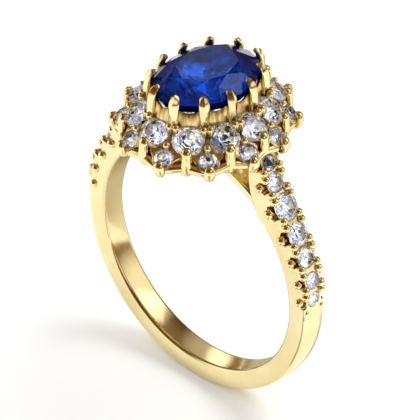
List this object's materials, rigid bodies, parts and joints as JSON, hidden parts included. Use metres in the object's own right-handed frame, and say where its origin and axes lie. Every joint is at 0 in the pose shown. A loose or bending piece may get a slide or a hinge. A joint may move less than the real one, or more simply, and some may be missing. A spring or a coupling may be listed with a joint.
{
  "type": "engagement ring",
  "caption": "Yellow gold engagement ring with an oval blue sapphire in claws, a double scalloped diamond halo and tapering diamond-set cathedral shoulders",
  "frame": {"origin": "centre of the finger hole, halfway across the width of the band", "axes": "+Y along the finger, +Z from the finger hole up through the centre stone, +X to the right-hand shoulder"},
  "size_m": [0.02, 0.013, 0.0252],
  "materials": {
    "gold": "polished 14 carat yellow gold",
    "diamond": "colourless faceted diamond",
    "sapphire": "deep blue faceted sapphire"
  },
  "bodies": {
    "root": {"shank": "gold", "left_shoulder": "gold", "right_shoulder": "gold", "basket_base": "gold", "centre_basket": "gold", "gallery_rail": "gold", "halo_plate": "gold", "halo_claws": "gold", "accent_claws": "gold", "centre_claw_01": "gold", "centre_claw_02": "gold", "centre_claw_03": "gold", "centre_claw_04": "gold", "centre_claw_05": "gold", "centre_claw_06": "gold", "centre_claw_07": "gold", "centre_claw_08": "gold", "centre_claw_09": "gold", "centre_claw_10": "gold", "centre_claw_11": "gold", "centre_claw_12": "gold", "sapphire": "sapphire", "halo_diamond_01": "diamond", "halo_diamond_02": "diamond", "halo_diamond_03": "diamond", "halo_diamond_04": "diamond", "halo_diamond_05": "diamond", "halo_diamond_06": "diamond", "halo_diamond_07": "diamond", "halo_diamond_08": "diamond", "halo_diamond_09": "diamond", "halo_diamond_10": "diamond", "halo_diamond_11": "diamond", "halo_diamond_12": "diamond", "accent_diamond_01": "diamond", "accent_diamond_02": "diamond", "accent_diamond_03": "diamond", "accent_diamond_04": "diamond", "accent_diamond_05": "diamond", "accent_diamond_06": "diamond", "accent_diamond_07": "diamond", "accent_diamond_08": "diamond", "accent_diamond_09": "diamond", "accent_diamond_10": "diamond", "accent_diamond_11": "diamond", "accent_diamond_12": "diamond", "left_shoulder_diamond_1": "diamond", "left_shoulder_diamond_2": "diamond", "left_shoulder_diamond_3": "diamond", "left_shoulder_diamond_4": "diamond", "left_shoulder_diamond_5": "diamond", "left_shoulder_diamond_6": "diamond", "left_shoulder_diamond_7": "diamond", "right_shoulder_diamond_1": "diamond", "right_shoulder_diamond_2": "diamond", "right_shoulder_diamond_3": "diamond", "right_shoulder_diamond_4": "diamond", "right_shoulder_diamond_5": "diamond", "right_shoulder_diamond_6": "diamond", "right_shoulder_diamond_7": "diamond"}
  },
  "joints": []
}
